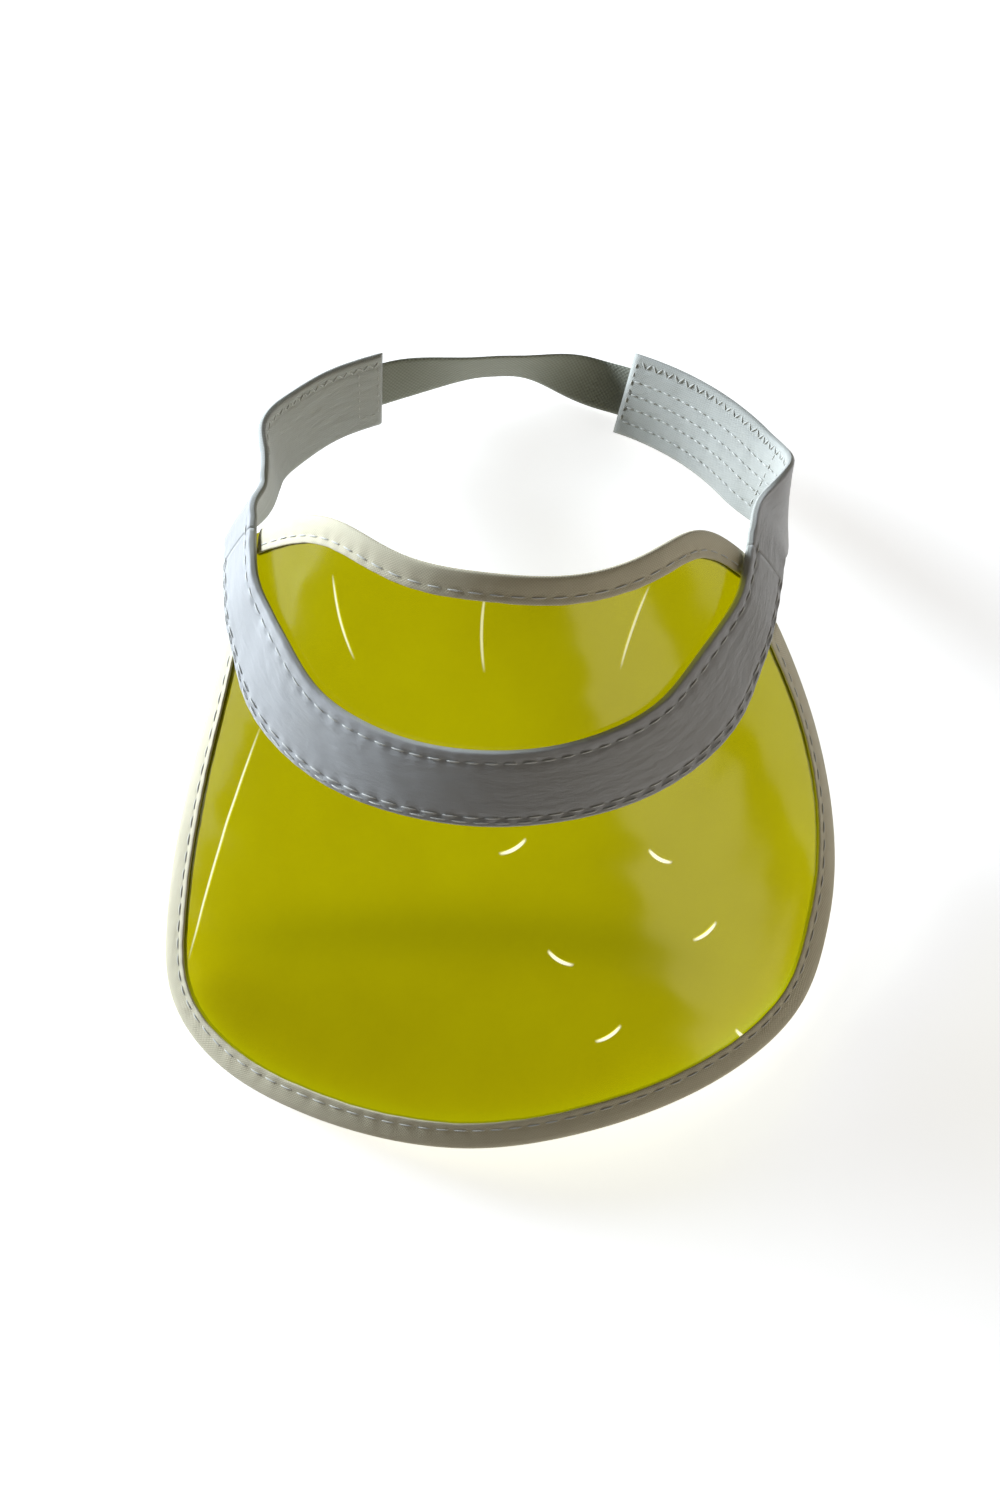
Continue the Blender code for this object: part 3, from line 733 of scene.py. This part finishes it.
def film_material():
    """Tinted clear PVC: light passes in its own colour, its faces mirror a little, its rim takes a painted
    glow, a painted shadow band crosses the brim and painted glints sit on it.
    """
    n = Nodes("clear_pvc_film")
    uv = n.add("UVMap").outputs[0]
    glow = n.add("Attribute", attribute_name="edge_glow").outputs["Fac"]
    shade = n.add("Attribute", attribute_name="painted_shadow_band").outputs["Fac"]
    broad = n.noise(scaled(n, uv, 0.03, 0.03), 1.0, 2.0)
    scratch = n.noise(scaled(n, uv, 0.02, 1.3, angle=0.9), 1.0, 3.0, 0.7)
    lines = n.ramp(scratch, 0.66, 0.72)
    tint = n.mix(n.ramp(broad, 0.3, 0.7), rgb(*FILM_TINT), rgb(*FILM_TINT_WARM))
    # Painted shadow: the tint darkens along a curved band across the brim.
    tint = n.mix(shade, tint, rgb(*FILM_TINT_SHADOWED))
    swell = n.noise(scaled(n, uv, 0.05, 0.07), 1.0, 2.0)
    soft = n.add("Bump", {"Strength": 0.35, "Distance": 0.25 * MM, "Height": swell})
    rough = n.ramp(lines, 0.0, 1.0, 0.15, 0.3)
    clear = n.add("BsdfTransparent", {"Color": tint})
    gloss = n.add("BsdfGlossy", {"Color": rgb(1, 1, 1), "Roughness": rough, "Normal": soft})
    facing = n.add("LayerWeight", {"Blend": 0.5, "Normal": soft}).outputs["Facing"]
    mirror = n.math("MULTIPLY_ADD", n.math("POWER", facing, 5.0), 0.6, FILM_MIRROR)
    # Painted glow: yellow light of its own near the brim's rim, strongest at the right side, and faintly
    # along the scratch lines, which are real wear.
    lit = n.add("Emission", {"Color": rgb(0.74, 0.80, 0.0), "Strength": 0.95})
    face = n.add("BsdfDiffuse", {"Color": rgb(0.72, 0.74, 0.0)})
    inner = n.mix_shaders(0.3, lit, face)
    amount = n.math("ADD", n.ramp(glow, 0.0, 1.0, 0.03, 0.85), n.math("MULTIPLY", lines, 0.05))
    seen = n.mix_shaders(amount, clear, inner)
    top = n.mix_shaders(mirror, seen, gloss)
    # Painted glints: white colour with light of its own, standing in for lamp reflections on the film.
    white = n.add("BsdfDiffuse", {"Color": rgb(0.9, 0.9, 0.72)})
    spark = n.add("Emission", {"Color": rgb(1.0, 1.0, 0.85), "Strength": 0.9})
    glint_shader = n.add("AddShader")
    n.tree.links.new(white.outputs[0], glint_shader.inputs[0])
    n.tree.links.new(spark.outputs[0], glint_shader.inputs[1])
    return n.finish(n.mix_shaders(painted_glint_share(n, uv), top, glint_shader))


def floor_material():
    """Pale paper on a light table: a little light of its own keeps it even."""
    n = Nodes("floor_paper")
    place = n.add("NewGeometry").outputs["Position"]
    grain = n.noise(place, 60.0, 3.0)
    base = n.mix(n.ramp(grain, 0.3, 0.7), rgb(0.86, 0.86, 0.86), rgb(0.88, 0.88, 0.88))
    return n.finish(n.add("BsdfPrincipled", {"Base Color": base, "Roughness": 0.9,
                                             "Emission Color": rgb(1, 1, 1),
                                             "Emission Strength": FLOOR_GLOW}))


SATIN = cloth_material("band_satin", (0.46, 0.465, 0.47), (0.37, 0.375, 0.38), 0.32, True, 0.10, 0.48, 0.25,
                       0.9, (0.42, 0.41, 0.38))
LINING = cloth_material("band_lining", (0.51, 0.52, 0.49), (0.42, 0.43, 0.40), 0.4, False, 0.12, 0.75, 0.3,
                        0.8, (0.46, 0.45, 0.40))
TAPE = cloth_material("binding_tape", (0.72, 0.665, 0.49), (0.60, 0.545, 0.39), 0.45, False, 0.16, 0.7, 0.25,
                      0.5, (0.60, 0.53, 0.37))
WEBBING = cloth_material("strap_webbing", (0.34, 0.35, 0.28), (0.25, 0.26, 0.21), 0.7, False, 0.22, 0.8, 0.25,
                         0.5, (0.29, 0.30, 0.24))
THREAD = thread_material("sewing_thread", (0.70, 0.70, 0.66))
LOOP = pile_material("loop_face", (0.80, 0.80, 0.78), (0.55, 0.55, 0.53), 1.1)
HOOK = pile_material("hook_face", (0.72, 0.72, 0.68), (0.45, 0.45, 0.42), 1.8)
FILM = film_material()


# ---------------------------------------------------------------- film
def film_waves(flat):
    """Soft unevenness of the film, in mm of lift; make_film fades it out at the edges and under the band."""
    x = flat[..., 0]
    y = flat[..., 1]
    return 0.25 * ripple(x + 0.4 * y, 1.0, 95.0) + 0.2 * ripple(y - 0.3 * x, 2.4, 70.0)


def set_point_values(obj, name, values):
    layer = obj.data.attributes.new(name, "FLOAT", "POINT")
    layer.data.foreach_set("value", np.asarray(values, np.float32))


def make_film():
    n = 220
    rows = 60
    us = np.linspace(0, 1, n + 1)
    vs = np.linspace(0, 1, rows + 1)
    crown = smooth_curve(CROWN_EDGE, us)
    brim = smooth_curve(BRIM_EDGE, us)
    band_top = smooth_curve(mirrored(BAND_TOP), us)
    band_low = smooth_curve(mirrored(BAND_LOW), us)
    flat = crown[:, None] + (brim - crown)[:, None] * vs[None, :, None]
    brim_gap = np.linalg.norm(flat - brim[:, None], axis=2)
    to_edge = np.minimum(np.linalg.norm(flat - crown[:, None], axis=2), brim_gap)
    free = smooth_step(to_edge, TAPE_WIDTH, TAPE_WIDTH + 14)
    middle = (band_top + band_low) / 2
    away = np.linalg.norm(flat - middle[:, None], axis=2)
    free = free * smooth_step(away, HALF, HALF + 12)
    free = free * smooth_step(1 - np.abs(2 * us - 1), 0.02, 0.2)[:, None]
    lift = film_waves(flat) * free
    upper = on_film(flat, lift + SHEET_THICK / 2)
    lower = on_film(flat, lift - SHEET_THICK / 2)
    rings = np.concatenate([upper, lower[:, ::-1]], 1)
    both = np.concatenate([flat, flat[:, ::-1], flat[:, :1]], 1)
    obj = loft("film", rings, both, [FILM])
    # Painted glow along the brim's bound edge: weak at the left, strongest at the right side.
    side = smooth_step(np.abs(flat[..., 0]), 60, 100)
    glow = np.exp(-np.maximum(brim_gap - TAPE_WIDTH, 0) / 2.6) * (0.4 + 0.6 * side * (flat[..., 0] > 0))
    set_point_values(obj, "edge_glow", np.concatenate([glow, glow[:, ::-1]], 1).ravel())
    # Painted shadow: a darker curved band across the brim, standing in for the band's shadow on the floor
    # seen through the film.
    shadow_strength = 0.8 * np.exp(-((flat[..., 1] + 20 - 0.0022 * flat[..., 0] ** 2) / 9.0) ** 2)
    shadow_strength = shadow_strength * smooth_step(90 - np.abs(flat[..., 0] + 10), 0, 40)
    set_point_values(obj, "painted_shadow_band", np.concatenate([shadow_strength, shadow_strength[:, ::-1]], 1).ravel())
    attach(obj, "front")
    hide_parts("visor_sheet")
    return obj


# ---------------------------------------------------------------- bound edges
STITCH = 4.4
STITCH_GAP = 1.4
TAPE_ROW = TAPE_WIDTH - 2.2
THREAD_RISE = 0.12


def make_tape(name, points, inward, body, node, threads):
    edge = Edge(points, inward)
    n = int(edge.length / 1.1)
    s = np.linspace(0, edge.length, n + 1)
    slot = SHEET_THICK / 2 + 0.12
    back = SHEET_THICK / 2 + FABRIC_GAP + TAPE_THICK
    insets = np.array([TAPE_WIDTH, TAPE_WIDTH - 0.25, TAPE_WIDTH - 0.9, TAPE_ROW + 0.7, TAPE_ROW,
                       TAPE_ROW - 0.7, 3.6, 2.2, 1.0, 0.0, -0.45, -0.75, -0.85])
    heights = np.array([-0.12, 0.0, 0.04, 0.0, -0.14, 0.0, 0.10, 0.14, 0.10, 0.0, -0.2, -0.55, -0.9]) + back
    heights = np.maximum(heights, 0.0)
    heights[-1] = 0.12
    phase = s / (STITCH + STITCH_GAP) * 2 * math.pi
    puff = 0.07 * np.cos(phase)[:, None] * np.exp(-((insets - TAPE_ROW) / 2.4) ** 2)[None]
    puff = puff + 0.06 * ripple(s, 3.1 + inward, 23.0)[:, None] * (insets > 0)[None]
    wander = 0.12 * ripple(s, 1.7 + inward, 31.0)[:, None] * (insets > 4)[None]
    grid_s = np.repeat(s[:, None], len(insets), 1)
    ends = np.sqrt(np.clip(np.minimum(s, edge.length - s) / 1.2, 0.02, 1))[:, None]
    outer_in = np.repeat(insets[None], n + 1, 0) + wander
    rise = np.where(insets[None] > 0, heights[None] + puff, heights[None])
    rise = slot + (rise - slot) * ends
    top = edge.at(grid_s, outer_in, rise)
    bottom = edge.at(grid_s, outer_in, -rise)
    inner_in = np.where(insets[None] > 0, outer_in, -0.25)
    inside = np.where(insets[None] > -0.1, slot, slot * 0.5)
    inside_top = edge.at(grid_s, inner_in, inside)
    inside_low = edge.at(grid_s, inner_in, -inside)
    outer = np.concatenate([top, bottom[:, ::-1]], 1)
    inner = np.concatenate([inside_top, inside_low[:, ::-1]], 1)
    rings = np.concatenate([outer, inner[:, ::-1]], 1)
    around = np.concatenate([TAPE_WIDTH - insets, TAPE_WIDTH + 2 + insets[::-1]])
    v = np.concatenate([around, around[::-1], around[:1]])
    uv = np.stack(np.broadcast_arrays(s[:, None], v[None]), -1)
    obj = loft(name, rings, uv, [TAPE])
    last = edge.length - 3.0
    rows = straight_row(edge, 3.0, last, TAPE_ROW, back + THREAD_RISE, STITCH, STITCH_GAP)
    lower = straight_row(edge, 3.0, last, TAPE_ROW, -back - THREAD_RISE, STITCH, STITCH_GAP, sink=-0.35)
    sewn = dashes(name + "_stitches", rows + lower, 0.24, THREAD)
    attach(obj, body)
    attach(sewn, body)
    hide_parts(node)
    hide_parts(threads)
    return obj


# ---------------------------------------------------------------- padded band
ROWS_FRONT = (9.2, -10.0, -11.7)
PUCKER = 5.8
EDGE_ROUND = 1.3
TEMPLE_OVERLAP = 6.0
ARM_ROWS_START = 26.0
ARM_THREAD = 0.22
ARM_SINK = -0.3


def band_profile(points_across):
    """Positions across the band, dense near its rounded edges."""
    t = np.linspace(-1, 1, points_across)
    return HALF * np.sin(t * math.pi / 2) * 0.35 + HALF * t * 0.65


def padded_band(name, strip, s0, s1, rows, inner_rows, round_ends):
    """One padded length of the band between s0 and s1, pulled in along its sewn rows."""
    n = int((s1 - s0) / 1.3)
    s = np.linspace(s0, s1, n + 1)
    a = band_profile(41)
    grid_s, grid_a = np.meshgrid(s, a, indexing="ij")
    edge = np.clip((np.abs(grid_a) - (HALF - EDGE_ROUND)) / EDGE_ROUND, 0, 1)
    body_half = BAND_THICK / 2 * np.sqrt(np.clip(1 - edge ** 2, 0.0, 1))
    for flag, dist in zip(round_ends, (grid_s - s0, s1 - grid_s)):
        if flag:
            body_half = body_half * np.sqrt(np.clip(1 - np.clip(1 - dist / EDGE_ROUND, 0, 1) ** 2, 0.02, 1))
    crown = 0.22 * (1 - (grid_a / HALF) ** 2)
    dip = np.zeros_like(grid_a)
    for k, row in enumerate(rows):
        near = np.exp(-((grid_a - row) / 0.9) ** 2)
        wide = np.exp(-((grid_a - row) / 2.6) ** 2)
        pull = 0.75 + 0.25 * np.cos(2 * math.pi * grid_s / PUCKER + k)
        dip += 0.42 * near * pull + 0.10 * wide * np.cos(2 * math.pi * grid_s / PUCKER + k + 0.8)
    soft = 0.10 * ripple(grid_s + 0.6 * grid_a, 0.7, 37.0) * (1 - edge)
    inner_dip = np.zeros_like(grid_a)
    for k, row in enumerate(inner_rows):
        near = np.exp(-((grid_a - row) / 0.8) ** 2)
        inner_dip += 0.35 * near * (0.8 + 0.2 * np.cos(2 * math.pi * grid_s / PUCKER + k))
    inner_soft = (0.12 * ripple(grid_s - 0.5 * grid_a, 2.1, 29.0) + 0.05) * (1 - edge)
    middle = BAND_THICK / 2
    shape = body_half / middle
    outer = middle + body_half + (crown - dip + soft) * shape
    inner = middle - body_half + (inner_dip + np.maximum(inner_soft, 0)) * shape
    top = strip.at(grid_s, grid_a, outer)
    low = strip.at(grid_s, grid_a, inner)
    rings = np.concatenate([top, low[:, ::-1]], 1)
    around = np.concatenate([a, 2 * HALF + 2.0 - a[::-1], [3 * HALF + 2.0]])
    uv = np.stack(np.broadcast_arrays(s[:, None], around[None]), -1)
    pick = [0] * (len(a) - 2) + [1] * (len(a) + 1) + [0]
    obj = loft(name, rings, uv, [SATIN, LINING], pick)
    return obj


def make_band():
    strip = band_strip()
    cut_left = strip.front_from + TEMPLE_OVERLAP
    cut_right = strip.front_to - TEMPLE_OVERLAP
    front = padded_band("front_band", strip, cut_left, cut_right, ROWS_FRONT, (), (False, False))
    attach(front, "front")
    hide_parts("front_band_cover", "front_band_foam", "front_band_lining")
    left = padded_band("left_band", strip, 0.0, cut_left, ROWS_FRONT[:1], (9.8,), (True, False))
    right = padded_band("right_band", strip, cut_right, strip.length, (), (9.8, 4.6, 0.2, -4.2, -9.0),
                        (False, True))
    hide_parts("left_arm_cover", "left_arm_foam", "left_arm_lining")
    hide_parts("right_arm_cover", "right_arm_foam", "right_arm_lining")
    for obj, side, arm in ((left, -1, "left_arm"), (right, 1, "right_arm")):
        _, _, ahead = temple(side)
        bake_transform(obj)
    return strip


def sew(name, made, radius, body, *nodes):
    obj = dashes(name, made, radius, THREAD)
    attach(obj, body)
    if nodes:
        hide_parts(*nodes)
    return obj


def make_band_stitches(strip):
    lift = BAND_THICK + 0.10
    s0 = strip.front_from + 2.0
    s1 = strip.front_to - 2.0
    made = []
    for k, row in enumerate(ROWS_FRONT):
        made += straight_row(strip, s0 + k, s1 - k, row, lift, STITCH, STITCH_GAP)
    sew("front_band_stitches", made, 0.26, "front", "band_upper_thread", "band_lower_thread",
        "band_edge_thread")
    right0 = strip.front_to + ARM_ROWS_START
    right1 = strip.length - 2.2
    made = zigzag_row(strip, right0, right1, 10.6, 0.0, 1.9, 2.4, sink=ARM_SINK)
    for k, row in enumerate((4.6, 0.2, -4.2, -9.0)):
        made += straight_row(strip, right0 + 2 * k, right1, row, 0.0, 2.6, 0.9, sink=ARM_SINK)
    made += cross_row(strip, right1 + 0.4, -9.0, 11.0, 0.0, 2.2, 0.8, sink=ARM_SINK)
    made += cross_row(strip, strip.length - 62, -9.0, 9.8, 0.0, 2.2, 0.8, sink=ARM_SINK)
    sew("right_arm_stitches", made, ARM_THREAD, "right_arm", *[f"right_arm_row_{i + 1}" for i in range(5)])
    left1 = strip.front_from - ARM_ROWS_START
    made = zigzag_row(strip, 2.0, left1, 10.4, 0.0, 1.9, 2.0, sink=ARM_SINK)
    for s in (2.2, 9.5):
        made += cross_row(strip, s, -8.5, 9.5, 0.0, 2.0, 0.8, sink=ARM_SINK)
    made += straight_row(strip, 2.5, 9.3, -8.4, 0.0, 2.0, 0.8, sink=ARM_SINK)
    sew("left_arm_stitches", made, ARM_THREAD, "left_arm", "left_arm_row_1")


# ---------------------------------------------------------------- strap and its fastening
def flat_tape(name, strip, s0, s1, half, low, high, material, bumps=0.0, step=1.0):
    """A flat strip with rounded long edges, between two lifts."""
    n = max(4, int((s1 - s0) / step))
    s = np.linspace(s0, s1, n + 1)
    cols = max(9, int(2 * half / max(step, 0.8)))
    a = half * np.sin(np.linspace(-1, 1, cols) * math.pi / 2) * 0.25 + half * np.linspace(-1, 1, cols) * 0.75
    grid_s, grid_a = np.meshgrid(s, a, indexing="ij")
    mid = (low + high) / 2
    body = (high - low) / 2
    edge = np.clip((np.abs(grid_a) - (half - body)) / body, 0, 1)
    thick = body * np.sqrt(np.clip(1 - edge ** 2, 0.05, 1))
    lengthwise = np.sin(grid_s * 5.1 + 1.3 * np.sin(grid_a * 2.3))
    rough = bumps * (lengthwise * np.sin(grid_a * 4.7 + np.sin(grid_s * 1.9)))
    top = strip.at(grid_s, grid_a, mid + thick + rough * (thick / body))
    under = strip.at(grid_s, grid_a, mid - thick)
    rings = np.concatenate([top, under[:, ::-1]], 1)
    around = np.concatenate([a, 2 * half + 1.0 - a[::-1], [3 * half + 1.0]])
    uv = np.stack(np.broadcast_arrays(s[:, None], around[None]), -1)
    return loft(name, rings, uv, [material])


def make_strap():
    strip = strap_strip()
    strap = flat_tape("adjuster_band", strip, 0.0, strip.length, STRAP_WIDTH / 2, 0.0, STRAP_THICK, WEBBING,
                      0.04)
    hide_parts("adjuster_strap", "strap_root")
    before, _ = strip.frame(strip.cut - 1.5, 0.0)
    after, _ = strip.frame(strip.cut + 1.5, 0.0)
    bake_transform(strap)
    pile = pile_strip()
    low = FABRIC_GAP - 0.25
    panel = FABRIC_GAP + PILE_THICK
    loop = flat_tape("loop_face_panel", pile, 0.0, pile.length, LOOP_WIDTH / 2, low, panel, LOOP, 0.10, 0.7)
    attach(loop, "right_arm")
    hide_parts("loop_panel")
    radius = pile.length / (LOOP_TO - LOOP_FROM)
    s0 = (HOOK_FROM - LOOP_FROM) * radius
    s1 = (HOOK_TO - LOOP_FROM) * radius
    lift = panel + PILE_CLEARANCE
    hook = flat_tape("hook_face_patch", pile, s0, s1, HOOK_WIDTH / 2, lift, lift + PILE_THICK + 0.2, HOOK,
                     0.0, 0.7)
    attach(hook, "strap")
    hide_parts("hook_patch")
    high = STRAP_THICK + 0.02
    made = cross_row(strip, 1.5, -6.5, 6.5, high, 2.0, 0.8)
    made += cross_row(strip, strip.cut - 3.0, -6.5, 6.5, high, 2.0, 0.8)
    for row in (-6.5, 6.5):
        made += straight_row(strip, 1.5, strip.cut - 3.0, row, high, 2.2, 0.8)
    sew("strap_root_stitches", made, ARM_THREAD, "left_arm")
    end = strip.length
    made = []
    for row in (-6.3, 6.3):
        made += straight_row(strip, end - 32.0, end - 2.0, row, high, 2.4, 0.8)
    made += cross_row(strip, end - 2.0, -6.3, 6.3, high, 2.2, 0.8)
    made += cross_row(strip, end - 32.0, -6.3, 6.3, high, 2.2, 0.8)
    sew("strap_end_stitches", made, ARM_THREAD, "strap")
    made = []
    for row in (-9.4, 9.4):
        made += straight_row(pile, 1.2, pile.length - 1.2, row, panel + 0.05, 2.4, 0.9)
    sew("loop_panel_stitches", made, ARM_THREAD, "right_arm")


# ---------------------------------------------------------------- camera, floor and lights
# The camera was fitted to the photo together with the outlines, with the lens held.
CAMERA_LOOK = np.array([0.0, -6.4, -66.6])
CAMERA_ELEVATION = math.radians(49.76)
CAMERA_AZIMUTH = math.radians(6.09)
CAMERA_ROLL = math.radians(2.42)
CAMERA_DISTANCE = 838.4
IMAGE_HEIGHT = 1500
SENSOR_HEIGHT = 24.0
CAMERA_SHIFT = (3.9 / IMAGE_HEIGHT, -16.4 / IMAGE_HEIGHT)
LENS = 2600 / IMAGE_HEIGHT * SENSOR_HEIGHT
FLOOR_DROP = 0.0006
FLOOR_SIZE = 6.0
FLOOR_CELLS = 24


def aim(obj, eye, look, up=(0, 0, 1)):
    back = unit(np.asarray(eye, float) - np.asarray(look, float))
    right = unit(np.cross(np.asarray(up, float), back))
    above = np.cross(back, right)
    m = Matrix.Identity(4)
    for i in range(3):
        m[i][0] = right[i]
        m[i][1] = above[i]
        m[i][2] = back[i]
        m[i][3] = float(eye[i])
    obj.matrix_world = m


def make_camera():
    e = CAMERA_ELEVATION
    a = CAMERA_AZIMUTH
    back = np.array([math.sin(a) * math.cos(e), -math.cos(a) * math.cos(e), math.sin(e)])
    eye = CAMERA_LOOK + CAMERA_DISTANCE * back
    right = unit(np.cross(-back, np.array([0.0, 0.0, 1.0])))
    down = np.cross(-back, right)
    turned = -math.sin(CAMERA_ROLL) * right + math.cos(CAMERA_ROLL) * down
    data = bpy.data.cameras.new("camera")
    data.sensor_fit = "VERTICAL"
    data.sensor_height = SENSOR_HEIGHT
    data.lens = LENS
    data.shift_x = -CAMERA_SHIFT[0]
    data.shift_y = CAMERA_SHIFT[1]
    data.clip_start = 0.01
    cam = bpy.data.objects.new("camera", data)
    bpy.context.scene.collection.objects.link(cam)
    aim(cam, to_world(eye), to_world(CAMERA_LOOK), to_world(-turned))
    bpy.context.scene.camera = cam


def area_light(name, place, look, width, height, power, colour):
    data = bpy.data.lights.new(name, "AREA")
    data.shape = "RECTANGLE"
    data.size = width
    data.size_y = height
    data.energy = power
    data.color = colour
    obj = bpy.data.objects.new(name, data)
    bpy.context.scene.collection.objects.link(obj)
    aim(obj, place, look)
    return obj


def make_floor(level):
    cells = FLOOR_CELLS
    axis = np.linspace(-FLOOR_SIZE, FLOOR_SIZE, cells + 1)
    verts = [(x, y, level) for x in axis for y in axis]
    faces = []
    for i in range(cells):
        for j in range(cells):
            p = i * (cells + 1) + j
            faces.append((p, p + cells + 1, p + cells + 2, p + 1))
    mesh = bpy.data.meshes.new("floor")
    mesh.from_pydata(verts, [], faces)
    mesh.materials.append(floor_material())
    obj = bpy.data.objects.new("floor", mesh)
    bpy.context.scene.collection.objects.link(obj)


def make_world():
    world = bpy.data.worlds.new("studio")
    world.use_nodes = True
    shade = world.node_tree.nodes["Background"]
    shade.inputs["Color"].default_value = (1.0, 0.93, 0.80, 1.0)
    shade.inputs["Strength"].default_value = 0.045
    bpy.context.scene.world = world


def make_studio():
    make_camera()
    make_floor(float(cad_box[0][2]) - FLOOR_DROP)
    make_world()
    centre = (0.0, -0.05, 0.0)
    area_light("key", (-1.98, 1.06, 0.46), centre, 1.0, 0.9, 118.0, (0.82, 0.91, 1.0))
    area_light("fill", (1.7, -0.9, 0.9), centre, 1.2, 1.2, 8.0, (1.0, 0.9, 0.76))
    bpy.context.scene.view_settings.view_transform = "Standard"


make_film()
make_tape("brim_tape", BRIM_EDGE, -1, "front", "brim_binding", "brim_binding_thread")
make_tape("crown_tape", CROWN_EDGE, 1, "front", "crown_binding", "crown_binding_thread")
BAND = make_band()
make_band_stitches(BAND)
make_strap()
make_studio()
